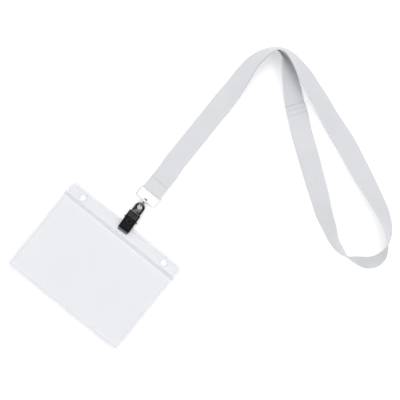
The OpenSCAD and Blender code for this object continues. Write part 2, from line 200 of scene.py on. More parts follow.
class StageSettings(bpy.types.PropertyGroup):
    turn: FloatProperty(name="Turn", default=math.radians(38.9), subtype="ANGLE", unit="ROTATION",
                        description="Turn of the camera about the vertical")
    centre: FloatVectorProperty(name="Centre", default=(0.0404, 0.0558, 0), size=3,
                                subtype="TRANSLATION", unit="LENGTH",
                                description="Point on the floor that the camera looks at")
    field: length("Field", 0.3828, "Width of the floor that the camera sees")
    lens: FloatProperty(name="Lens", default=85.0, min=1.0, description="Focal length in millimetres")
    key: FloatProperty(name="Key light", default=9.0, min=0.0, description="Power of the key light")
    floor: colour("Floor", (0.97, 0.97, 0.97), "Colour of the floor")


def settings(name):
    return getattr(bpy.context.scene, "lanyard_" + name)


# ---------------------------------------------------------------- materials


def new_material(name, tint, **sockets):
    """A material with a Principled shader, and the tools to add to it: (material, node tree, shader)."""
    material = bpy.data.materials.new(name)
    material.use_nodes = True
    shader = material.node_tree.nodes["Principled BSDF"]
    shader.inputs["Base Color"].default_value = (*tint, 1)
    for socket, value in sockets.items():
        shader.inputs[socket.replace("_", " ")].default_value = value
    return material, material.node_tree, shader


def add_node(tree, kind, inputs=None, **attributes):
    """A new node. inputs gives each socket, by name or number, a value or the socket that feeds it."""
    node = tree.nodes.new(kind)
    for key, value in attributes.items():
        setattr(node, key, value)
    for key, value in (inputs or {}).items():
        if isinstance(value, bpy.types.NodeSocket):
            tree.links.new(value, node.inputs[key])
        else:
            node.inputs[key].default_value = value
    return node


def calc(tree, operation, a, b=0.0):
    return add_node(tree, "ShaderNodeMath", {0: a, 1: b}, operation=operation).outputs[0]


def object_noise(tree, scale, detail=3.0, stretch=(1, 1, 1)):
    """Noise on the piece's own coordinates. scale is in waves per metre."""
    where = add_node(tree, "ShaderNodeTexCoord").outputs["Object"]
    mapped = add_node(tree, "ShaderNodeMapping", {"Vector": where, "Scale": stretch}).outputs[0]
    return add_node(tree, "ShaderNodeTexNoise",
                    {"Vector": mapped, "Scale": scale, "Detail": detail}).outputs[0]


def ramp(tree, factor, low, high, colour_low, colour_high):
    node = add_node(tree, "ShaderNodeValToRGB", {"Fac": factor})
    node.color_ramp.elements[0].position = low
    node.color_ramp.elements[1].position = high
    node.color_ramp.elements[0].color = (*colour_low, 1)
    node.color_ramp.elements[1].color = (*colour_high, 1)
    return node.outputs[0]


def shade(tint, factor):
    return tuple(min(1.0, c * factor) for c in tint)


def bump(tree, shader, height, distance, strength=1.0):
    node = add_node(tree, "ShaderNodeBump",
                    {"Height": height, "Distance": distance, "Strength": strength})
    tree.links.new(node.outputs[0], shader.inputs["Normal"])


def woven_polyester(ribbon):
    """Plain weave on the ribbon's own UV map, which is in metres: across in U, along in V."""
    material, tree, shader = new_material("woven_polyester", ribbon.tint, Roughness=0.72,
                                          Sheen_Weight=0.25, Sheen_Roughness=0.5)
    uv = add_node(tree, "ShaderNodeUVMap", uv_map="ribbon").outputs[0]
    split = add_node(tree, "ShaderNodeSeparateXYZ", {0: uv}).outputs
    turns = math.pi / ribbon.rib_pitch
    across = calc(tree, "SINE", calc(tree, "MULTIPLY", split[0], turns))
    along = calc(tree, "SINE", calc(tree, "MULTIPLY", split[1], turns))
    over = calc(tree, "MULTIPLY", across, along)
    weft = calc(tree, "ABSOLUTE", along)
    height = calc(tree, "MULTIPLY_ADD", over, 0.35)
    height.node.inputs[2].default_value = 0.5
    height = calc(tree, "ADD", height, calc(tree, "MULTIPLY", weft, 0.5))
    slub = object_noise(tree, 900, 2.0)
    height = calc(tree, "ADD", height, calc(tree, "MULTIPLY", slub, 0.35))
    bump(tree, shader, height, 0.00006, 0.6)
    cloudy = ramp(tree, object_noise(tree, 45, 2.0), 0.3, 0.7, shade(ribbon.tint, 0.975),
                  shade(ribbon.tint, 1.02))
    # Painted shade: the weave's low points are darkened to 0.93 of the colour, as if shade lay in them.
    weave_valley_shade = ramp(tree, height, 0.1, 0.9, (0.93, 0.93, 0.93), (1, 1, 1))
    mixed = add_node(tree, "ShaderNodeMixRGB", {0: 1.0, 1: cloudy, 2: weave_valley_shade}, blend_type="MULTIPLY")
    tree.links.new(mixed.outputs[0], shader.inputs["Base Color"])
    return material


def sewing_thread(stitches):
    material, tree, shader = new_material("sewing_thread", stitches.tint, Roughness=0.6,
                                          Sheen_Weight=0.3)
    fibres = object_noise(tree, 6000, 2.0)
    bump(tree, shader, fibres, 0.00003, 0.5)
    fuzz = ramp(tree, fibres, 0.3, 0.7, shade(stitches.tint, 0.85), shade(stitches.tint, 1.05))
    tree.links.new(fuzz, shader.inputs["Base Color"])
    return material


def plated_metal(name, tint, roughness, brushed=(1, 1, 1)):
    """Polished plating: fine handling marks in the roughness and the bump, and a faint cloudiness."""
    material, tree, shader = new_material(name, tint, Metallic=1.0)
    marks = object_noise(tree, 1500, 4.0, brushed)
    dull = calc(tree, "MULTIPLY_ADD", marks, roughness)
    dull.node.inputs[2].default_value = roughness * 0.5
    tree.links.new(dull, shader.inputs["Roughness"])
    bump(tree, shader, marks, 0.00001, 0.25)
    cloudy = ramp(tree, object_noise(tree, 300, 2.0), 0.3, 0.7, shade(tint, 0.85), shade(tint, 1.1))
    tree.links.new(cloudy, shader.inputs["Base Color"])
    return material


def black_enamel(clip):
    """Semi-gloss enamel with a fine orange peel, and a painted grey highlight on the raised edges."""
    material, tree, shader = new_material("clip_enamel", clip.tint, Specular_IOR_Level=0.1)
    peel = object_noise(tree, 2500, 2.0)
    dull = calc(tree, "MULTIPLY_ADD", peel, 0.25)
    dull.node.inputs[2].default_value = 0.2
    tree.links.new(dull, shader.inputs["Roughness"])
    bump(tree, shader, peel, 0.00002, 0.3)
    # Painted highlight: the raised edges, found by pointiness and broken up by noise, are coloured grey.
    edge = add_node(tree, "ShaderNodeNewGeometry").outputs["Pointiness"]
    edge_highlight_mask = calc(tree, "ADD", edge, calc(tree, "MULTIPLY", object_noise(tree, 900, 3.0), 0.05))
    edge_highlight = ramp(tree, edge_highlight_mask, 0.53, 0.6, clip.tint, (0.2, 0.2, 0.205))
    tree.links.new(edge_highlight, shader.inputs["Base Color"])
    return material


def steps(tree, value, stops):
    """An opacity from a distance: stops gives (distance, opacity) pairs, which slopes join."""
    total = None
    for (low, start), (high, end) in zip(stops, stops[1:]):
        if start != end:
            part = add_node(tree, "ShaderNodeMapRange", {"Value": value, "From Min": low, "From Max": high,
                                                         "To Min": 0.0, "To Max": end - start}).outputs[0]
            total = part if total is None else calc(tree, "ADD", total, part)
    return calc(tree, "ADD", total, stops[0][1])


def vinyl_regions(tree, pouch):
    """Distances on the pouch: in from its edge, the stretch of single sheet, out from a chain hole."""
    low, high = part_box("pouch_back")
    where = add_node(tree, "ShaderNodeTexCoord").outputs["Object"]
    x, y = add_node(tree, "ShaderNodeSeparateXYZ", {0: where}).outputs[:2]
    edge = None
    for value, bottom, top in ((x, low.x, high.x), (y, low.y, high.y)):
        away = calc(tree, "ABSOLUTE", calc(tree, "SUBTRACT", value, (bottom + top) / 2))
        inset = calc(tree, "SUBTRACT", (top - bottom) / 2, away)
        edge = inset if edge is None else calc(tree, "MINIMUM", edge, inset)
    # The band between the header strip and the pocket's mouth, which clear_vinyl fills with painted shade.
    header_end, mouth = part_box("header_strip")[0].y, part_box("pouch_front")[1].y
    away = calc(tree, "ABSOLUTE", calc(tree, "SUBTRACT", y, (header_end + mouth) / 2))
    half = (header_end - mouth) / 2
    gap = add_node(tree, "ShaderNodeMapRange", {"Value": away, "From Min": half - 0.0002, "From Max": half,
                                                "To Min": 1.0, "To Max": 0.0}).outputs[0]
    hole = None
    for mount in [m for m in frame["record"]["mounts"] if m["kind"] == "bore"]:
        across = calc(tree, "SUBTRACT", x, mount["pos_m"][0])
        up = calc(tree, "SUBTRACT", y, mount["pos_m"][1])
        reach = calc(tree, "SQRT", calc(tree, "ADD", calc(tree, "MULTIPLY", across, across),
                                        calc(tree, "MULTIPLY", up, up)))
        from_rim = calc(tree, "SUBTRACT", reach, pouch.hole / 2)
        hole = from_rim if hole is None else calc(tree, "MINIMUM", hole, from_rim)
    return edge, gap, hole


def clear_vinyl(pouch):
    """Soft clear vinyl: a faint blue, slow ripples, a little haze, and a band of painted shade under the
    header.
    """
    material, tree, shader = new_material("soft_vinyl", pouch.tint, Alpha=pouch.alpha, IOR=1.45,
                                          Coat_Weight=0.4, Coat_Roughness=0.08)
    haze = object_noise(tree, 120, 3.0)
    dull = calc(tree, "MULTIPLY_ADD", haze, 0.14)
    dull.node.inputs[2].default_value = 0.08
    tree.links.new(dull, shader.inputs["Roughness"])
    bump(tree, shader, object_noise(tree, 45, 0.0), 0.0004, 0.3)
    faint = ramp(tree, object_noise(tree, 25, 2.0), 0.35, 0.65, shade(pouch.tint, 0.96),
                 shade(pouch.tint, 1.04))
    edge, gap, hole = vinyl_regions(tree, pouch)
    weld = pouch.weld
    # Painted shade: more opaque grey lines along the cut edge, along the weld line and round each chain hole
    # stand for the shade these edges and ridges catch; inside the weld the sheet is a little clearer.
    border = steps(tree, edge, [(0.0, 0.17), (0.0004, 0.17), (0.0009, 0.048), (weld - 0.0006, 0.048),
                                (weld - 0.0002, 0.1), (weld + 0.0002, 0.1),
                                (weld + 0.0008, pouch.alpha)])
    rim = steps(tree, hole, [(0.0, 0.2), (0.0004, 0.2), (0.0008, 0.0), (0.0013, 0.0), (0.0016, 0.16),
                             (0.0019, 0.16), (0.0023, 0.0)])
    # Painted shade: the band between the header strip and the pocket's mouth gets a higher opacity and a
    # colour darkened to 0.62 of the tint.
    opacity = calc(tree, "MAXIMUM", calc(tree, "MAXIMUM", border, rim),
                   calc(tree, "MULTIPLY", gap, pouch.mouth_band_shade))
    tree.links.new(opacity, shader.inputs["Alpha"])
    band_shade_colour = add_node(tree, "ShaderNodeMixRGB", {0: gap, 1: faint, 2: (*shade(pouch.tint, 0.62), 1)})
    tree.links.new(band_shade_colour.outputs[0], shader.inputs["Base Color"])
    return material


def made_once(name, maker, *arguments):
    """The material of that name, made the first time it is asked for."""
    return bpy.data.materials.get(name) or maker(*arguments)


def dark_nickel():
    return made_once("nickel_plating", plated_metal, "nickel_plating", settings("metal").dark, 0.16)


# ---------------------------------------------------------------- meshes


def new_piece(name, vertices, faces, material, smooth_angle=math.radians(35)):
    """An object at the origin whose place is in its mesh."""
    mesh = bpy.data.meshes.new(name)
    mesh.from_pydata([tuple(v) for v in vertices], [], faces)
    return finish_mesh(name, mesh, material, smooth_angle)


def finish_mesh(name, mesh, material, smooth_angle=math.radians(35)):
    mesh.materials.clear()
    mesh.materials.append(material)
    mesh.validate()
    mesh.shade_smooth()
    mesh.set_sharp_from_angle(angle=smooth_angle)
    piece = bpy.data.objects.new(name, mesh)
    bpy.context.scene.collection.objects.link(piece)
    return piece


def applied(source, name, material, smooth_angle=math.radians(35)):
    """Turns an object with modifiers into a plain mesh piece, and removes the source."""
    bpy.context.view_layer.update()
    graph = bpy.context.evaluated_depsgraph_get()
    mesh = bpy.data.meshes.new_from_object(source.evaluated_get(graph), depsgraph=graph)
    mesh.transform(source.matrix_world)
    bpy.data.objects.remove(source)
    return finish_mesh(name, mesh, material, smooth_angle)


def joined(name, pieces, material, smooth_angle=math.radians(35)):
    """One piece out of several."""
    bm = bmesh.new()
    for piece in pieces:
        bm.from_mesh(piece.data)
        bpy.data.objects.remove(piece)
    mesh = bpy.data.meshes.new(name)
    bm.to_mesh(mesh)
    bm.free()
    return finish_mesh(name, mesh, material, smooth_angle)


def unit(v):
    v = np.asarray(v, float)
    return v / np.linalg.norm(v)


def ring_faces(rings, per_ring, capped=True, closed=False):
    """Faces between rings of vertices, with a cap on each end."""
    faces = []
    for i in range(rings if closed else rings - 1):
        j = (i + 1) % rings
        for k in range(per_ring):
            n = (k + 1) % per_ring
            faces.append((i * per_ring + k, i * per_ring + n, j * per_ring + n, j * per_ring + k))
    if capped and not closed:
        faces.append(tuple(reversed(range(per_ring))))
        faces.append(tuple((rings - 1) * per_ring + k for k in range(per_ring)))
    return faces


def wire(name, points, radius, material, sides=20, closed=False):
    """A round wire along the points, which carries its section along without twisting it."""
    points = [np.asarray(p, float) for p in points]
    count = len(points)
    normal, vertices = None, []
    for i in range(count):
        if closed:
            along = unit(points[(i + 1) % count] - points[i - 1])
        else:
            along = unit(points[min(i + 1, count - 1)] - points[max(i - 1, 0)])
        if normal is None:
            hint = (0, 0, 1) if abs(along[2]) < 0.9 else (1, 0, 0)
            normal = np.cross(along, hint)
        normal = unit(normal - np.dot(normal, along) * along)
        other = np.cross(along, normal)
        for k in range(sides):
            a = 2 * math.pi * k / sides
            vertices.append(points[i] + radius * (math.cos(a) * normal + math.sin(a) * other))
    return new_piece(name, vertices, ring_faces(count, sides, True, closed), material)


def turned(name, profile, axis, origin, material, sides=48):
    """A turned solid: profile is a list of (distance along the axis, radius)."""
    axis, origin = unit(axis), np.asarray(origin, float)
    normal = unit(np.cross(axis, (0, 0, 1) if abs(axis[2]) < 0.9 else (1, 0, 0)))
    other = np.cross(axis, normal)
    vertices = []
    for along, radius in profile:
        for k in range(sides):
            a = 2 * math.pi * k / sides
            vertices.append(origin + along * axis
                            + radius * (math.cos(a) * normal + math.sin(a) * other))
    return new_piece(name, vertices, ring_faces(len(profile), sides), material)


def rounded_ends(start, end, radius, ease, steps=4):
    """The profile of a round bar from start to end whose rims are eased."""
    arc = [math.pi / 2 * i / steps for i in range(steps + 1)]
    first = [(start + ease * (1 - math.sin(a)), radius - ease * (1 - math.cos(a))) for a in reversed(arc)]
    last = [(end - ease * (1 - math.sin(a)), radius - ease * (1 - math.cos(a))) for a in arc]
    return first + last


def arc_points(cx, cy, radius, start, end, steps):
    """Points on an arc, in degrees, both ends included."""
    return [(cx + radius * math.cos(math.radians(start + (end - start) * i / steps)),
             cy + radius * math.sin(math.radians(start + (end - start) * i / steps)))
            for i in range(steps + 1)]


def plate(name, outlines, low, high, ease, material, matrix=None):
    """A flat plate with rounded edges. The first outline is its rim, and the others are its holes."""
    curve = bpy.data.curves.new(name, "CURVE")
    curve.dimensions = "2D"
    curve.fill_mode = "BOTH"
    curve.extrude = (high - low) / 2 - ease
    curve.bevel_depth = ease
    curve.bevel_resolution = 2
    curve.offset = -ease
    for outline in outlines:
        spline = curve.splines.new("POLY")
        spline.points.add(len(outline) - 1)
        for point, (x, y) in zip(spline.points, outline):
            point.co = (x, y, 0, 1)
        spline.use_cyclic_u = True
    flat = bpy.data.objects.new(name, curve)
    bpy.context.scene.collection.objects.link(flat)
    flat.matrix_world = (matrix or Matrix()) @ Matrix.Translation((0, 0, (low + high) / 2))
    piece = applied(flat, name, material)
    clean(piece)
    return piece


def clean(piece, gap=1e-7):
    """Joins doubled points and points the faces outwards."""
    bm = bmesh.new()
    bm.from_mesh(piece.data)
    bmesh.ops.remove_doubles(bm, verts=bm.verts, dist=gap)
    bmesh.ops.recalc_face_normals(bm, faces=bm.faces)
    bm.to_mesh(piece.data)
    bm.free()


def drilled(piece, cutters):
    """Cuts the cutters out of the piece and removes them."""
    for cutter in cutters:
        cut = piece.modifiers.new("hole", "BOOLEAN")
        cut.operation = "DIFFERENCE"
        cut.solver = "EXACT"
        cut.object = cutter
    name, material = piece.name, piece.data.materials[0]
    piece.name = name + "_uncut"
    result = applied(piece, name, material)
    for cutter in cutters:
        bpy.data.objects.remove(cutter)
    return result


def drill(origin, axis, radius, start, end, material):
    return turned("drill", [(start, radius), (end, radius)], axis, origin, material, 40)


def place(piece, body, replaced):
    """The piece rides on the body and stands for the CAD node."""
    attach(piece, body)
    if replaced:
        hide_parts(replaced)
    return piece


# ---------------------------------------------------------------- repeated pieces


def new_tree(name, sockets):
    """A Geometry Nodes tree with the named inputs: (tree, group input's outputs)."""
    tree = bpy.data.node_groups.new(name, "GeometryNodeTree")
    tree.interface.new_socket("Geometry", in_out="OUTPUT", socket_type="NodeSocketGeometry")
    for label, kind in sockets:
        tree.interface.new_socket(label, in_out="INPUT", socket_type=kind)
    return tree, tree.nodes.new("NodeGroupInput").outputs


def end_tree(tree, geometry, material):
    """Ends a tree in Realize Instances and Set Material."""
    real = add_node(tree, "GeometryNodeRealizeInstances", {0: geometry}).outputs[0]
    painted = add_node(tree, "GeometryNodeSetMaterial", {"Geometry": real, "Material": material})
    smooth = add_node(tree, "GeometryNodeSetShadeSmooth", {0: painted.outputs[0]}).outputs[0]
    end = tree.nodes.new("NodeGroupOutput")
    tree.links.new(smooth, end.inputs[0])


def row_of(tree, piece, count, pitch):
    """The piece, repeated along X about the origin."""
    half = calc(tree, "MULTIPLY", calc(tree, "SUBTRACT", count, 1.0), -0.5)
    start = add_node(tree, "ShaderNodeCombineXYZ", {0: calc(tree, "MULTIPLY", half, pitch)}).outputs[0]
    step = add_node(tree, "ShaderNodeCombineXYZ", {0: pitch}).outputs[0]
    points = add_node(tree, "GeometryNodeMeshLine",
                      {"Count": count, "Start Location": start, "Offset": step}, mode="OFFSET")
    return add_node(tree, "GeometryNodeInstanceOnPoints",
                    {"Points": points.outputs[0], "Instance": piece}).outputs[0]


def stitch_tree():
    """A row of stitches along X: each is two plies twisted round each other, and dips at its ends."""
    tree, given = new_tree("stitch_row", [
        ("Count", "NodeSocketInt"), ("Pitch", "NodeSocketFloat"), ("Stitch", "NodeSocketFloat"),
        ("Thread", "NodeSocketFloat"), ("Dip", "NodeSocketFloat"), ("Material", "NodeSocketMaterial")])
    ply = calc(tree, "MULTIPLY", given["Thread"], 0.25)
    helix = add_node(tree, "GeometryNodeCurveSpiral",
                     {"Resolution": 14, "Rotations": 2.5, "Start Radius": ply, "End Radius": ply,
                      "Height": given["Stitch"]}).outputs[0]
    other = add_node(tree, "GeometryNodeTransform", {0: helix, "Rotation": (0, 0, math.pi)}).outputs[0]
    both = add_node(tree, "GeometryNodeJoinGeometry", {0: helix})
    tree.links.new(other, both.inputs[0])
    section = add_node(tree, "GeometryNodeCurvePrimitiveCircle",
                       {"Resolution": 8, "Radius": calc(tree, "MULTIPLY", ply, 1.1)}).outputs[0]
    thread = add_node(tree, "GeometryNodeCurveToMesh",
                      {"Curve": both.outputs[0], "Profile Curve": section, "Fill Caps": True}).outputs[0]
    shift = add_node(tree, "ShaderNodeCombineXYZ",
                     {0: calc(tree, "MULTIPLY", given["Stitch"], -0.5)}).outputs[0]
    laid = add_node(tree, "GeometryNodeTransform",
                    {0: thread, "Rotation": (0, math.pi / 2, 0), "Translation": shift}).outputs[0]
    x = add_node(tree, "ShaderNodeSeparateXYZ",
                 {0: add_node(tree, "GeometryNodeInputPosition").outputs[0]}).outputs[0]
    share = calc(tree, "ABSOLUTE", calc(tree, "DIVIDE", x, calc(tree, "MULTIPLY", given["Stitch"], 0.5)))
    drop = calc(tree, "MULTIPLY", calc(tree, "POWER", share, 4.0), given["Dip"])
    down = add_node(tree, "ShaderNodeCombineXYZ", {2: calc(tree, "MULTIPLY", drop, -1.0)}).outputs[0]
    bent = add_node(tree, "GeometryNodeSetPosition", {0: laid, "Offset": down}).outputs[0]
    end_tree(tree, row_of(tree, bent, given["Count"], given["Pitch"]), given["Material"])
    return tree


def rib_tree():
    """A row of ribs along X: each runs along Y and tapers to nothing at its ends."""
    tree, given = new_tree("rib_row", [
        ("Count", "NodeSocketInt"), ("Pitch", "NodeSocketFloat"), ("Length", "NodeSocketFloat"),
        ("Radius", "NodeSocketFloat"), ("Material", "NodeSocketMaterial")])
    half = calc(tree, "MULTIPLY", given["Length"], 0.5)
    ends = [add_node(tree, "ShaderNodeCombineXYZ", {1: calc(tree, "MULTIPLY", half, side)}).outputs[0]
            for side in (-1.0, 1.0)]
    line = add_node(tree, "GeometryNodeCurvePrimitiveLine", {"Start": ends[0], "End": ends[1]}).outputs[0]
    fine = add_node(tree, "GeometryNodeResampleCurve", {"Curve": line, "Count": 33}).outputs[0]
    along = add_node(tree, "GeometryNodeSplineParameter").outputs["Factor"]
    middle = calc(tree, "ABSOLUTE", calc(tree, "MULTIPLY", calc(tree, "SUBTRACT", along, 0.5), 2.0))
    taper = calc(tree, "SQRT", calc(tree, "SUBTRACT", 1.0, calc(tree, "POWER", middle, 8.0)))
    tapered = add_node(tree, "GeometryNodeSetCurveRadius",
                       {"Curve": fine, "Radius": calc(tree, "MAXIMUM", taper, 0.05)}).outputs[0]
    section = add_node(tree, "GeometryNodeCurvePrimitiveCircle",
                       {"Resolution": 16, "Radius": given["Radius"]}).outputs[0]
    rib = add_node(tree, "GeometryNodeCurveToMesh",
                   {"Curve": tapered, "Profile Curve": section, "Fill Caps": True}).outputs[0]
    end_tree(tree, row_of(tree, rib, given["Count"], given["Pitch"]), given["Material"])
    return tree


def from_tree(name, maker, values, material, matrix):
    """Runs a tree with its inputs set and gives its result as a plain mesh piece, placed by the matrix."""
    tree = bpy.data.node_groups.get(name) or maker()
    carrier = bpy.data.objects.new(name, bpy.data.meshes.new(name))
    bpy.context.scene.collection.objects.link(carrier)
    run = carrier.modifiers.new(name, "NODES")
    run.node_group = tree
    found = {s.name: s.identifier for s in tree.interface.items_tree if s.in_out == "INPUT"}
    for label, value in {**values, "Material": material}.items():
        run[found[label]] = value
    carrier.matrix_world = matrix
    return applied(carrier, name + "_made", material)


# ---------------------------------------------------------------- the strap


def outwards(rows, i, side):
    """The level direction across the ribbon that points away from the middle of the loop."""
    a, b = rows[max(i - 1, 0)], rows[min(i + 1, len(rows) - 1)]
    return side * np.cross(unit((b[0] - a[0], b[1] - a[1], 0)), (0, 0, 1))


def station(row, out, lift, ribbon):
    """A station on the route: the middle of the ribbon and the direction across it."""
    x, y, lean, rise, _ = row
    turn = math.radians(lean)
    up = math.cos(turn) * np.array((0, 0, 1)) + math.sin(turn) * out
    clear = 0.0001
    z = (ribbon.width / 2 * abs(math.sin(turn)) + ribbon.thickness / 2 * abs(math.cos(turn))
         + clear + rise)
    across = math.cos(turn) * out - math.sin(turn) * np.array((0, 0, 1))
    return np.concatenate([np.array((x, y, z)) + lift * up, across])


def strap_stations(ribbon):
    """Every station from the loop's front end, round the ring, to its back end."""
    front = INNER[::-1] + BEND[::-1] + OUTER[::-1] + DOUBLED[::-1]
    back = DOUBLED + BACK_END
    fold = settings("metal").ring_wire / 2 + ribbon.ring_gap + ribbon.thickness / 2
    stations = [station(front[i], outwards(front, i, 1), front[i][4], ribbon)
                for i in range(len(front))]
    for degrees in range(90, 271, 30):
        a = math.radians(degrees)
        stations.append(np.array((0, RING_BAR.y + fold * math.cos(a), RING_BAR.z + fold * math.sin(a),
                                  -1, 0, 0)))
    stations += [station(back[i], outwards(back, i, -1), 0, ribbon) for i in range(len(back))]
    return np.array(stations)


def smooth_route(stations, step):
    """Centripetal Catmull-Rom through the stations: the samples, and each station's sample number.

    Each span's point comes from straight lines between four stations, then from lines between those
    three results, and then from a line between the last two.
    """
    gaps = np.sqrt(np.linalg.norm(np.diff(stations[:, :3], axis=0), axis=1))
    t = np.concatenate([[0], np.cumsum(gaps)])
    first = 2 * stations[0] - stations[1]
    last = 2 * stations[-1] - stations[-2]
    p = np.vstack([first, stations, last])
    t = np.concatenate([[-gaps[0]], t, [t[-1] + gaps[-1]]])
    samples, at = [], []
    for i in range(1, len(p) - 2):
        at.append(len(samples))
        count = max(3, round(gaps[i - 1] ** 2 / step))
        for k in range(count):
            x = t[i] + (t[i + 1] - t[i]) * k / count
            row = [p[j] * (t[j + 1] - x) / (t[j + 1] - t[j]) + p[j + 1] * (x - t[j]) / (t[j + 1] - t[j])
                   for j in range(i - 1, i + 2)]
            row = [row[j] * (t[i + 1 + j] - x) / (t[i + 1 + j] - t[i - 1 + j])
                   + row[j + 1] * (x - t[i - 1 + j]) / (t[i + 1 + j] - t[i - 1 + j]) for j in (0, 1)]
            samples.append((row[0] * (t[i + 1] - x) + row[1] * (x - t[i])) / (t[i + 1] - t[i]))
    at.append(len(samples))
    samples.append(stations[-1])
    return np.array(samples), at


def ribbon_frames(samples):
    """For each sample: its middle, the direction across, the direction out of its face, the length so far."""
    middles = samples[:, :3]
    so_far = np.concatenate([[0], np.cumsum(np.linalg.norm(np.diff(middles, axis=0), axis=1))])
    frames = []
    for i, row in enumerate(samples):
        along = unit(middles[min(i + 1, len(middles) - 1)] - middles[max(i - 1, 0)])
        across = unit(row[3:] - np.dot(row[3:], along) * along)
        frames.append((row[:3], across, np.cross(along, across), so_far[i]))
    return frames


def ribbon_section(ribbon):
    """The section as (across, up) points: flat faces, rounded edges and slightly fuller selvedges."""
    half, thick, edge = ribbon.width / 2, ribbon.thickness / 2, 0.0003
    selvedge, fuller = 0.0011, 0.00004
    flat = np.linspace(half - edge, -half + edge, 25)
    top = [(a, thick - fuller + fuller * math.exp(-((half - abs(a)) / selvedge - 0.6) ** 2 * 6))
           for a in flat]
    rim = [(-half + edge - edge * math.cos(b), thick * math.sin(b) * 0.96)
           for b in np.radians([60, 30, 0, -30, -60])]
    bottom = [(-a, -up) for a, up in top]
    other_rim = [(-a, -up) for a, up in rim]
    return top + rim + bottom + other_rim


def make_strap(ribbon):
    frames = ribbon_frames(smooth_route(strap_stations(ribbon), 0.0012)[0])
    section = ribbon_section(ribbon)
    vertices = [middle + a * across + b * up for middle, across, up, _ in frames for a, b in section]
    material = made_once("woven_polyester", woven_polyester, ribbon)
    strap = new_piece("strap_ribbon", vertices, ring_faces(len(frames), len(section)), material,
                      math.radians(60))
    uv = strap.data.uv_layers.new(name="ribbon")
    per_ring = len(section)
    for loop in strap.data.loops:
        ring, k = divmod(loop.vertex_index, per_ring)
        uv.data[loop.index].uv = (section[k][0] + ribbon.width / 2, frames[ring][3])
    clean(strap)
    return strap


def make_row(ribbon, stitches, station_number):
    """One row of stitches on the ribbon's upper face at a station."""
    samples, at = smooth_route(strap_stations(ribbon), 0.0012)
    middle, across, up, _ = ribbon_frames(samples)[at[station_number]]
    if up[2] < 0:
        up = -up
    along = np.cross(up, across)
    sunk = 0.3
    origin = middle + up * (ribbon.thickness / 2 + stitches.thread * (0.5 - sunk))
    matrix = Matrix([(*[v[i] for v in (across, along, up)], origin[i]) for i in range(3)] + [(0, 0, 0, 1)])
    pitch = (ribbon.width - 2 * stitches.margin) / (stitches.count - 1)
    values = {"Count": stitches.count, "Pitch": pitch, "Stitch": stitches.stitch,
              "Thread": stitches.thread, "Dip": stitches.thread * 0.6}
    return from_tree("stitch_row", stitch_tree, values,
                     made_once("sewing_thread", sewing_thread, stitches), matrix)


# ---------------------------------------------------------------- ring and swivel


def make_ring(metal):
    material = made_once("bright_plating", plated_metal, "bright_plating", metal.bright, 0.1)
    wire_r = metal.ring_wire / 2
    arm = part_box("ring")[1].x - wire_r
    top, bottom, z = RING_BAR.y, RING_LOW_Y, RING_BAR.z
    tight, wide = 0.0009, metal.ring_corner
    outline = (arc_points(arm - tight, top - tight, tight, 0, 90, 8)
               + arc_points(-arm + tight, top - tight, tight, 90, 180, 8)
               + arc_points(-arm + wide, bottom + wide, wide, 180, 270, 12)
               + arc_points(arm - wide, bottom + wide, wide, 270, 360, 12))
    loop = wire("loop", [(x, y, z) for x, y in outline], wire_r, material, 28, closed=True)
    start = bottom - metal.hub_length / 2
    bore = metal.shank / 2 + 0.00005
    outer = rounded_ends(start, start + metal.hub_length, metal.hub / 2, 0.0003)
    inner = [(start + metal.hub_length, bore), (start, bore)]
    hub = new_tube("hub", outer + inner, (0, 1, 0), (0, 0, z), material)
    shank = [drill((0, 0, z), (0, 1, 0), bore, start - 0.001, start + metal.hub_length + 0.001, material)]
    loop = drilled(loop, shank)
    return joined("plated_ring", [loop, hub], material)


def new_tube(name, profile, axis, origin, material, sides=48):
    """A turned solid with a bore: its profile is a closed loop."""
    piece = turned(name, profile, axis, origin, material, sides)
    bm = bmesh.new()
    bm.from_mesh(piece.data)
    bm.verts.ensure_lookup_table()
    caps = [f for f in bm.faces if len(f.verts) > 4]
    bmesh.ops.delete(bm, geom=caps, context="FACES_ONLY")
    last = (len(profile) - 1) * sides
    for k in range(sides):
        n = (k + 1) % sides
        bm.faces.new([bm.verts[i] for i in (last + k, last + n, n, k)])
    bmesh.ops.recalc_face_normals(bm, faces=bm.faces)
    bm.to_mesh(piece.data)
    bm.free()
    piece.data.set_sharp_from_angle(angle=math.radians(35))
    return piece


def make_swivel(metal):
    material = dark_nickel()
    low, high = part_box("swivel_eye")
    z, eye_r, shank_r = RING_BAR.z, metal.eye_wire / 2, metal.shank / 2
    play, collar_length, dome_height = 0.0002, 0.0006, 0.0011
    overlap = 0.0002
    collar_start = RING_LOW_Y - metal.hub_length / 2 - play - collar_length
    collar_end = collar_start + collar_length
    head_start = RING_LOW_Y + metal.hub_length / 2 + play
    dome = [(head_start + dome_height * math.sin(a), metal.hub / 2 * math.cos(a) ** 0.6)
            for a in np.radians([0, 15, 30, 45, 60, 72, 82])]
    head = turned("head", [(head_start, metal.hub / 2 - play)] + dome + [(high.y, 0.0001)],
                  (0, 1, 0), (0, 0, z), material)
    shank = turned("shank", [(collar_end - overlap, shank_r), (head_start + overlap, shank_r)],
                   (0, 1, 0), (0, 0, z), material)
    collar = turned("collar", rounded_ends(collar_start, collar_end, metal.hub / 2, 0.0002),
                    (0, 1, 0), (0, 0, z), material)
    loop_r = (high.z - low.z) / 2 - eye_r
    eye_y = low.y + eye_r
    arc = arc_points(eye_y + loop_r, z, loop_r, 270, 90, 24)
    into_collar = collar_start + overlap
    path = ([(0, into_collar, z - loop_r)] + [(0, y, h) for y, h in arc]
            + [(0, into_collar, z + loop_r)])
    eye = wire("eye", path, eye_r, material, 24)
    return joined("swivel", [head, shank, collar, eye], material)


# ---------------------------------------------------------------- the clip


def under_jaw(clip, y):
    """Height of the underside of the front jaw, past its bend."""
    return clip.foot_height + (y + clip.jaw - clip.foot) * math.tan(clip.slope)


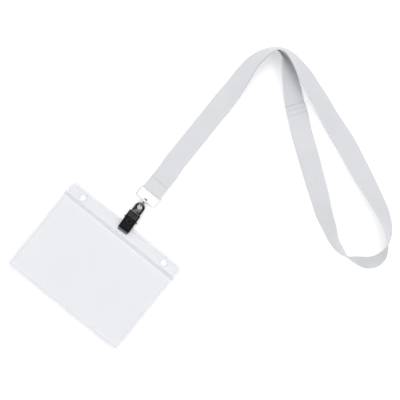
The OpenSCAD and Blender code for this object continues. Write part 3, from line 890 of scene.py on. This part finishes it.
def make_tongue(clip, metal):
    material = dark_nickel()
    half, hole = clip.tongue_width / 2, clip.tongue_hole / 2
    end = HOLE.y + hole + clip.tongue_rim
    middle = end - half
    neck, root = clip.knuckle / 2, clip.ear + 0.0017
    shoulder = 0.0008
    rim = ([(-neck, 0.0), (neck, 0.0), (neck, root - 0.0004)]
           + arc_points(half - shoulder, root + shoulder, shoulder, 270, 360, 6)
           + arc_points(0, middle, half, 0, 180, 48)
           + arc_points(-half + shoulder, root + shoulder, shoulder, 180, 270, 6)
           + [(-neck, root - 0.0004)])
    bore = arc_points(HOLE.x, HOLE.y, hole, 0, 350, 35)
    thick = clip.sheet / 2
    flat = plate("flat", [rim, bore], PIVOT_Z - thick, PIVOT_Z + thick, 0.00015, material)
    slot = drill((0, 0, PIVOT_Z), (1, 0, 0), metal.pin / 2 + 0.00005, -neck - 0.001, neck + 0.001, material)
    flat = drilled(flat, [slot])
    outer, inner = clip.ear - 0.00005, metal.pin / 2 + 0.00005
    profile = rounded_ends(-neck, neck, outer, 0.00015) + [(neck, inner), (-neck, inner)]
    knuckle = new_tube("knuckle", profile, (1, 0, 0), (0, 0, PIVOT_Z), material)
    tongue = joined("tongue_plate", [flat, knuckle], material)
    tongue.data.transform(HUNG)
    return tongue


def ear_edge(clip, y):
    """The free edge of the front jaw's ear at y: its height, or None away from the ear."""
    if abs(y) < clip.ear:
        return PIVOT_Z - math.sqrt(clip.ear ** 2 - y ** 2)
    reach = clip.ear + 0.001
    if abs(y) < reach:
        share = (abs(y) - clip.ear) / 0.001
        return PIVOT_Z + share * (under_jaw(clip, math.copysign(reach, y)) - PIVOT_Z)
    return None


def pressed_marks(clip, x, y):
    """How far the front jaw's face is pressed in or out at a point: the dimple, its ring and the creases."""
    from_dimple = math.hypot(x, y + 0.0023)
    dimple = -0.00042 * math.exp(-(from_dimple / 0.0015) ** 4)
    ring = 0.00016 * math.exp(-((from_dimple - 0.0026) / 0.0004) ** 2)
    inside = 1 / (1 + math.exp((abs(x) - clip.front_width / 2 + 0.0014) / 0.0002))
    creases = sum(-0.00014 * math.exp(-((y - at) / 0.00022) ** 2) for at in (-0.0066, -0.0085))
    return dimple + ring + creases * inside


def make_front_jaw(clip, metal):
    """A pressed channel: a sloping face with a bend along each side, flanges and ears."""
    material = made_once("clip_enamel", black_enamel, clip)
    tan, bend = math.tan(clip.slope), -clip.jaw + clip.foot
    ys = list(np.arange(-clip.jaw, clip.lever + 1e-6, 0.00024)) + [s * clip.ear for s in (-1, 1)]
    ys += [s * (clip.ear - d) for s in (-1, 1) for d in (0.00003, 0.0001)] + [bend, clip.lever]
    ys = sorted(set(round(y, 7) for y in ys))
    half, roll = clip.front_width / 2, 0.0007
    flat_x = list(np.linspace(-half + roll, half - roll, 45))
    bends = np.radians([15, 30, 45, 60, 75, 90])
    flange_steps = 6
    vertices = []
    for y in ys:
        soft = 0.0004
        climb = soft * math.log1p(math.exp((y - bend) / soft)) * tan
        top = clip.foot_height + clip.sheet / math.cos(clip.slope) * (0.94 if y < bend else 1) + climb
        flange = clip.foot_height + max(0, y - bend) * (under_jaw(clip, clip.lever) - 0.0016
                                                        - clip.foot_height) / (clip.lever - bend)
        edge = min(ear_edge(clip, y) or flange, flange, top - roll - 0.00005)
        side = [(roll * (1 - math.sin(b)), top - roll * (1 - math.cos(b))) for b in bends]
        drop = [(0, top - roll - (top - roll - edge) * k / flange_steps)
                for k in range(1, flange_steps + 1)]
        column = side + drop
        vertices += [(-half + inset, y, z) for inset, z in reversed(column)]
        vertices += [(x, y, top + pressed_marks(clip, x, y)) for x in flat_x]
        vertices += [(half - inset, y, z) for inset, z in column]
    per_row = len(vertices) // len(ys)
    faces = [(i * per_row + k, i * per_row + k + 1, (i + 1) * per_row + k + 1, (i + 1) * per_row + k)
             for i in range(len(ys) - 1) for k in range(per_row - 1)]
    shell = new_piece("front_shell", vertices, faces, material)
    clean(shell)
    if sum(p.normal.z * p.area for p in shell.data.polygons) < 0:
        shell.data.flip_normals()
    thick = shell.modifiers.new("sheet", "SOLIDIFY")
    thick.thickness, thick.offset, thick.use_even_offset = clip.sheet * 0.94, -1, True
    shell = applied(shell, "front_solid", material)
    reach = half + 0.002
    bore = drill((0, 0, PIVOT_Z), (1, 0, 0), metal.pin / 2 + 0.00005, -reach, reach, material)
    shell = drilled(shell, [bore])
    jaw = joined("front_jaw_pressing", [shell], material)
    jaw.data.transform(HUNG)
    return jaw


def make_ribs(clip):
    """The ribs across the thumb lever, which lie along the jaw's slope."""
    material = made_once("clip_enamel", black_enamel, clip)
    pitch, rib_r = 0.0013, 0.0003
    middle = clip.lever - pitch * (1.2 + (clip.ribs - 1) / 2) - clip.sheet * math.sin(clip.slope)
    height = under_jaw(clip, middle) + clip.sheet / math.cos(clip.slope)
    matrix = HUNG @ Matrix.Translation((0, middle, height)) @ Matrix.Rotation(clip.slope, 4, "X")
    matrix = matrix @ Matrix.Rotation(math.pi / 2, 4, "Z")
    values = {"Count": clip.ribs, "Pitch": pitch, "Length": clip.front_width - 4 * clip.sheet,
              "Radius": rib_r}
    ribs = from_tree("rib_row", rib_tree, values, material, matrix)
    ribs.name = "thumb_ribs"
    return ribs


def make_back_jaw(clip, metal):
    material = made_once("clip_enamel", black_enamel, clip)
    outer = clip.front_width / 2 - clip.sheet - 0.00015
    lip, corner = clip.lip_width / 2, 0.0006
    tip, waist = -clip.jaw - clip.lip_out, -clip.ear
    rim = (arc_points(-lip + corner, tip + corner, corner, 180, 270, 6)
           + arc_points(lip - corner, tip + corner, corner, 270, 360, 6)
           + [(lip, waist - 0.0003), (outer, waist)]
           + arc_points(outer - corner, clip.lever - corner, corner, 0, 90, 6)
           + arc_points(-outer + corner, clip.lever - corner, corner, 90, 180, 6)
           + [(-outer, waist), (-lip, waist - 0.0003)])
    parts = [plate("base", [rim], 0, clip.sheet, 0.00015, material)]
    foot = clip.sheet * 0.5
    profile = [(-clip.ear, foot), (clip.ear, foot)] + arc_points(0, PIVOT_Z, clip.ear, 0, 180, 24)
    hole = arc_points(0, PIVOT_Z, metal.pin / 2 + 0.00005, 0, 348, 29)
    for side in (-1, 1):
        x0, x1 = sorted((side * outer, side * (outer - clip.sheet)))
        upright = Matrix(((0, 0, 1, 0), (1, 0, 0, 0), (0, 1, 0, 0), (0, 0, 0, 1)))
        parts.append(plate("ear", [profile, hole], x0, x1, 0.0001, material, upright))
    jaw = joined("back_jaw_pressing", parts, material)
    jaw.data.transform(HUNG)
    return jaw


def make_pin(clip, metal):
    """The pivot pin, with peened ends."""
    end, radius = clip.front_width / 2 + metal.pin_out, metal.pin / 2
    profile = rounded_ends(-end, end, radius, 0.00035, 6)
    pin = turned("pivot_rivet", profile, (1, 0, 0), (0, 0, PIVOT_Z), dark_nickel(), 36)
    pin.data.transform(HUNG)
    return pin


def make_spring_half(clip, metal, side):
    """Half of the spring: a leg on the back jaw, one coil, and half the bridge under the front jaw."""
    material = made_once("spring_wire", plated_metal, "spring_wire", metal.steel, 0.25, (1, 6, 6))
    radius, gap, turns = metal.spring_wire / 2, 0.00006, 2.5
    pitch = metal.spring_wire + 0.00005
    first = clip.knuckle / 2 + gap + radius
    coil_r = metal.pin / 2 + 0.0004 + radius
    steps = 90
    coil = []
    for i in range(steps + 1):
        a = -math.pi / 2 + 2 * math.pi * turns * i / steps
        coil.append((first + pitch * turns * (1 - i / steps), -coil_r * math.cos(a),
                     PIVOT_Z + coil_r * math.sin(a)))
    leg_y = clip.lever - 0.0034
    leg_z = under_jaw(clip, leg_y) - (radius + gap) / math.cos(clip.slope)
    back = (first + pitch * turns, clip.lever - 0.0028, clip.sheet + gap + radius)
    corner = [(first - 0.0005 * (1 - math.cos(b)), leg_y - 0.0005 * (1 - math.sin(b)), leg_z
               - 0.0002 * (1 - math.sin(b))) for b in np.radians([0, 22, 45, 67, 90])]
    legs = corner + [(0, leg_y, leg_z)]
    path = [(side * x, y, z) for x, y, z in [back] + coil + legs]
    name = "spring_right" if side > 0 else "spring_left"
    half = wire(name, path, radius, material, 14)
    half.data.transform(HUNG)
    return half


def bend_spring(half, clip):
    """Bakes the half's placement into its mesh."""
    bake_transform(half)


# ---------------------------------------------------------------- the pouch


def sheet_loop(half_w, half_h, radius, per_long, per_short, per_corner):
    """Points round a rounded rectangle, the same number on each side whatever its size."""
    radius = min(radius, half_w, half_h)
    x, y = half_w - radius, half_h - radius
    centres = [(x, y), (-x, y), (-x, -y), (x, -y)]
    points = []
    for corner, (cx, cy) in enumerate(centres):
        turn = 90 * (corner + 1)
        points += arc_points(cx, cy, radius, turn - 90, turn, per_corner)
        start, next_centre = points[-1], centres[(corner + 1) % 4]
        end = arc_points(*next_centre, radius, turn, turn, 1)[0]
        count = per_short if corner % 2 else per_long
        points += [(start[0] + (end[0] - start[0]) * k / count, start[1] + (end[1] - start[1]) * k / count)
                   for k in range(1, count)]
    return points


def soft_sheet(name, low, high, corner, relief, thickness, material):
    """A soft sheet between two corners: relief(x, y, inset) is its height, and it hangs down from there."""
    cx, cy = (low[0] + high[0]) / 2, (low[1] + high[1]) / 2
    half_w, half_h = (high[0] - low[0]) / 2, (high[1] - low[1]) / 2
    insets = [0, 0.0001, 0.00025, 0.0005, 0.0008, 0.0011, 0.0015, 0.002, 0.0025, 0.003, 0.0035, 0.004,
              0.0048, 0.006, 0.0075]
    insets = [d for d in insets if d < half_h * 0.98]
    while half_h - insets[-1] > 0.0035:
        insets.append(insets[-1] + 0.0025)
    insets.append(half_h * 0.9999)
    vertices, per_loop = [], 0
    for inset in insets:
        loop = sheet_loop(half_w - inset, half_h - inset, max(corner - inset, 0), 64, 44, 8)
        per_loop = len(loop)
        vertices += [(cx + x, cy + y, relief(cx + x, cy + y, inset)) for x, y in loop]
    sheet = new_piece(name, vertices, ring_faces(len(insets), per_loop, capped=False), material)
    bm = bmesh.new()
    bm.from_mesh(sheet.data)
    bmesh.ops.remove_doubles(bm, verts=bm.verts, dist=0.00004)
    margin = 0.001
    middle = [edge for edge in bm.edges if edge.is_boundary and all(
        low[i] + margin < v.co[i] < high[i] - margin for v in edge.verts for i in (0, 1))]
    bmesh.ops.holes_fill(bm, edges=middle)
    bmesh.ops.recalc_face_normals(bm, faces=bm.faces)
    bm.to_mesh(sheet.data)
    bm.free()
    if sum(p.normal.z * p.area for p in sheet.data.polygons) < 0:
        sheet.data.flip_normals()
    thick = sheet.modifiers.new("sheet", "SOLIDIFY")
    thick.thickness, thick.offset = thickness, -1
    sheet.name = name + "_thin"
    return applied(sheet, name, material)


def ripple(pouch, x, y, seed):
    """A slow ripple of the soft vinyl."""
    return pouch.ripple * noise.noise(Vector((x * 28, y * 22, seed)))


def border(inset, pouch):
    """The welded border: a bead along the edge and a pressed line along its inner side."""
    bead = 0.00016 * math.exp(-((inset - 0.0009) / 0.0005) ** 2)
    line = -0.00012 * math.exp(-((inset - pouch.weld) / 0.00025) ** 2)
    return bead + line


def chain_drills(pouch, low, high, material):
    """A cutter for each chain hole, where the record's mounts say."""
    mounts = [m for m in frame["record"]["mounts"] if m["kind"] == "bore"]
    return [drill((m["pos_m"][0], m["pos_m"][1], 0), (0, 0, 1), pouch.hole / 2, low.z - 0.001,
                  high.z + 0.002, material) for m in mounts]


def hole_swell(pouch, x, y):
    """The raised ring round each chain hole."""
    mounts = [m["pos_m"] for m in frame["record"]["mounts"] if m["kind"] == "bore"]
    near = min(math.hypot(x - m[0], y - m[1]) for m in mounts)
    return 0.0003 * math.exp(-((near - pouch.hole / 2 - 0.001) / 0.0007) ** 4)


def make_pouch_back(pouch):
    material = made_once("soft_vinyl", clear_vinyl, pouch)
    low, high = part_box("pouch_back")
    sheet = soft_sheet("pouch_back_sheet", low, high, pouch.corner,
                       lambda x, y, inset: high.z + ripple(pouch, x, y, 1.3) * min(1, inset / 0.02),
                       pouch.sheet * 0.9, material)
    return drilled(sheet, chain_drills(pouch, low, high, material))


def make_pouch_front(pouch):
    """The pocket's front: welded along three sides, its mouth a little open along the fourth."""
    material = made_once("soft_vinyl", clear_vinyl, pouch)
    low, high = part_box("pouch_front")
    welded, full = low.z + pouch.sheet, high.z

    def relief(x, y, inset):
        from_mouth = high.y - y
        sides = min(x - low.x, high.x - x, y - low.y)
        rise = 1 - math.exp(-(max(0, sides - pouch.weld) / 0.004) ** 1.5)
        lip = 0.00012 * math.exp(-(from_mouth / 0.0012) ** 2)
        return welded + (full - welded) * rise + border(sides, pouch) * (sides < 0.006) + lip * rise \
            + ripple(pouch, x, y, 4.7) * rise

    return soft_sheet("pouch_front_sheet", low, high, pouch.corner * 0.25, relief, pouch.sheet * 0.9,
                      material)


def make_header(pouch):
    """The strip welded over the pouch's top, with a raised ring round each chain hole."""
    material = made_once("soft_vinyl", clear_vinyl, pouch)
    low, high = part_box("header_strip")
    columns, rows, corner = 260, 26, pouch.corner
    vertices = []
    for j in range(rows + 1):
        for i in range(columns + 1):
            y = low.y + (high.y - low.y) * j / rows
            short = 0.0
            if y > high.y - corner:
                short = corner - math.sqrt(max(0, corner ** 2 - (y - high.y + corner) ** 2))
            x0, x1 = low.x + short, high.x - short
            x = x0 + (x1 - x0) * i / columns
            rim = min(x - x0, x1 - x, high.y - y)
            z = high.z + hole_swell(pouch, x, y) + border(rim, pouch) * (rim < 0.006)
            weld_line = -0.0001 * math.exp(-((y - low.y - 0.0012) / 0.0003) ** 2)
            vertices.append((x, y, z + weld_line))
    per_row = columns + 1
    faces = [(j * per_row + i, j * per_row + i + 1, (j + 1) * per_row + i + 1, (j + 1) * per_row + i)
             for j in range(rows) for i in range(columns)]
    sheet = new_piece("header_thin", vertices, faces, material)
    thick = sheet.modifiers.new("sheet", "SOLIDIFY")
    thick.thickness, thick.offset = pouch.sheet * 0.9, -1
    sheet = applied(sheet, "header_welded_strip", material)
    return drilled(sheet, chain_drills(pouch, low, high, material))


# ---------------------------------------------------------------- operators


class LANYARD_OT_stage(bpy.types.Operator):
    """Makes the floor, the lights and the camera"""

    bl_idname = "lanyard.stage"
    bl_label = "Stage"

    def execute(self, context):
        stage = settings("stage")
        scene = context.scene
        scene.view_settings.view_transform = "Standard"
        camera = bpy.data.objects.new("camera", bpy.data.cameras.new("camera"))
        camera.data.lens = stage.lens
        camera.data.sensor_width = 36.0
        distance = stage.field * stage.lens / camera.data.sensor_width
        camera.location = Vector(stage.centre) + Vector((0, 0, distance))
        camera.rotation_euler = (0, 0, stage.turn)
        camera.data.clip_start, camera.data.clip_end = 0.01, 100
        scene.collection.objects.link(camera)
        scene.camera = camera
        half, drop = 4.0, -0.0003  # the floor lies just under the pieces that touch it
        corners = [(-half, -half, drop), (half, -half, drop), (half, half, drop), (-half, half, drop)]
        material, tree, shader = new_material("pale_floor", stage.floor, Roughness=0.9,
                                              Emission_Color=(1, 1, 1, 1), Emission_Strength=0.12)
        faint = ramp(tree, object_noise(tree, 6, 2.0), 0.3, 0.7, shade(stage.floor, 0.995), stage.floor)
        tree.links.new(faint, shader.inputs["Base Color"])
        new_piece("floor", corners, [(0, 1, 2, 3)], material)
        lights = (("key", (-0.5, 0.7, 1.4), 1.6, stage.key),
                  ("fill", (0.9, -0.6, 1.2), 1.2, stage.key * 0.35))
        for name, where, size, power in lights:
            data = bpy.data.lights.new(name, "AREA")
            data.energy, data.size = power, size
            lamp = bpy.data.objects.new(name, data)
            lamp.location = where
            lamp.rotation_euler = (Vector(stage.centre) - Vector(where)).to_track_quat("-Z", "Y").to_euler()
            scene.collection.objects.link(lamp)
        self.sky(scene)
        return {"FINISHED"}

    def sky(self, scene):
        """A bright dome with a darker band low down, which the polished metal reflects."""
        world = bpy.data.worlds.new("studio")
        world.use_nodes = True
        scene.world = world
        tree = world.node_tree
        direction = add_node(tree, "ShaderNodeTexCoord").outputs["Generated"]
        height = add_node(tree, "ShaderNodeSeparateXYZ", {0: direction}).outputs[2]
        band = add_node(tree, "ShaderNodeValToRGB", {"Fac": height})
        stops = band.color_ramp.elements
        stops[0].position, stops[0].color = 0.0, (0.9, 0.9, 0.91, 1)
        stops[1].position, stops[1].color = 0.99, (0.05, 0.05, 0.05, 1)
        for at, grey in ((0.05, 0.3), (0.12, 0.5), (0.22, 1.1), (0.95, 1.0), (0.975, 0.05)):
            stop = stops.new(at)
            stop.color = (grey, grey, grey * 1.02, 1)
        tree.links.new(band.outputs[0], tree.nodes["Background"].inputs["Color"])
        tree.nodes["Background"].inputs["Strength"].default_value = 1.0


class LANYARD_OT_strap(bpy.types.Operator):
    """Makes the woven strap and the stitches that hold it"""

    bl_idname = "lanyard.strap"
    bl_label = "Strap"

    def execute(self, context):
        ribbon, stitches = settings("ribbon"), settings("stitch")
        strap = place(make_strap(ribbon), "strap", "strap")
        last_before_fold = len(INNER) + len(BEND) + len(OUTER) + len(DOUBLED) - 1
        at_ring = make_row(ribbon, stitches, last_before_fold - 1)
        at_ring.name = "ring_seam"
        place(at_ring, "strap", "ring_stitching")
        lap = joined("lap_seam", [make_row(ribbon, stitches, 1), make_row(ribbon, stitches, 2)],
                     bpy.data.materials["sewing_thread"])
        place(lap, "strap", "lap_stitching")
        return {"FINISHED"}


class LANYARD_OT_ring(bpy.types.Operator):
    """Makes the plated wire ring with its boss"""

    bl_idname = "lanyard.ring"
    bl_label = "Ring"

    def execute(self, context):
        place(make_ring(settings("metal")), "ring", "ring")
        return {"FINISHED"}


class LANYARD_OT_swivel(bpy.types.Operator):
    """Makes the swivel eye: head, shank, collar and eye"""

    bl_idname = "lanyard.swivel"
    bl_label = "Swivel"

    def execute(self, context):
        place(make_swivel(settings("metal")), "swivel", "swivel_eye")
        return {"FINISHED"}


class LANYARD_OT_tongue(bpy.types.Operator):
    """Makes the tongue that hangs from the swivel's eye"""

    bl_idname = "lanyard.tongue"
    bl_label = "Tongue"

    def execute(self, context):
        place(make_tongue(settings("clip"), settings("metal")), "clip", "tongue")
        return {"FINISHED"}


class LANYARD_OT_jaws(bpy.types.Operator):
    """Makes both jaws of the clip and the ribs on the thumb lever"""

    bl_idname = "lanyard.jaws"
    bl_label = "Jaws"

    def execute(self, context):
        clip, metal = settings("clip"), settings("metal")
        place(make_front_jaw(clip, metal), "front_jaw", "front_jaw")
        place(make_ribs(clip), "front_jaw", None)
        place(make_back_jaw(clip, metal), "clip", "back_jaw")
        return {"FINISHED"}


class LANYARD_OT_pivot(bpy.types.Operator):
    """Makes the pivot pin and the spring that turns about it"""

    bl_idname = "lanyard.pivot"
    bl_label = "Pin and spring"

    def execute(self, context):
        clip, metal = settings("clip"), settings("metal")
        place(make_pin(clip, metal), "clip", "pivot_pin")
        for side in (-1, 1):
            half = make_spring_half(clip, metal, side)
            bend_spring(half, clip)
            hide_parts("jaw_spring")
        return {"FINISHED"}


class LANYARD_OT_pouch(bpy.types.Operator):
    """Makes the clear pouch: its back, the pocket's front and the header strip"""

    bl_idname = "lanyard.pouch"
    bl_label = "Pouch"

    def execute(self, context):
        pouch = settings("pouch")
        place(make_pouch_back(pouch), "pouch", "pouch_back")
        place(make_pouch_front(pouch), "pouch", "pouch_front")
        place(make_header(pouch), "pouch", "header_strip")
        return {"FINISHED"}


OPERATORS = (LANYARD_OT_stage, LANYARD_OT_strap, LANYARD_OT_ring, LANYARD_OT_swivel, LANYARD_OT_tongue,
             LANYARD_OT_jaws, LANYARD_OT_pivot, LANYARD_OT_pouch)
GROUPS = {"ribbon": RibbonSettings, "stitch": StitchSettings, "metal": MetalSettings,
          "clip": ClipSettings, "pouch": PouchSettings, "stage": StageSettings}


class LANYARD_PT_panel(bpy.types.Panel):
    """Lists the lanyard's settings and the operators that make its pieces"""

    bl_idname = "LANYARD_PT_panel"
    bl_label = "Lanyard"
    bl_space_type = "VIEW_3D"
    bl_region_type = "UI"
    bl_category = "Lanyard"

    def draw(self, context):
        for operator in OPERATORS:
            self.layout.operator(operator.bl_idname)
        for name in GROUPS:
            box = self.layout.box()
            box.label(text=name.capitalize())
            group = settings(name)
            for key in group.bl_rna.properties.keys():
                if key not in ("rna_type", "name"):
                    box.prop(group, key)


def register():
    for group in GROUPS.values():
        bpy.utils.register_class(group)
    for name, group in GROUPS.items():
        setattr(bpy.types.Scene, "lanyard_" + name, PointerProperty(type=group))
    for operator in OPERATORS:
        bpy.utils.register_class(operator)
    bpy.utils.register_class(LANYARD_PT_panel)


def unregister():
    bpy.utils.unregister_class(LANYARD_PT_panel)
    for operator in reversed(OPERATORS):
        bpy.utils.unregister_class(operator)
    for name, group in GROUPS.items():
        delattr(bpy.types.Scene, "lanyard_" + name)
        bpy.utils.unregister_class(group)


def main():
    register()
    for operator in OPERATORS:
        group, name = operator.bl_idname.split(".")
        getattr(getattr(bpy.ops, group), name)()


if __name__ == "__main__":
    main()
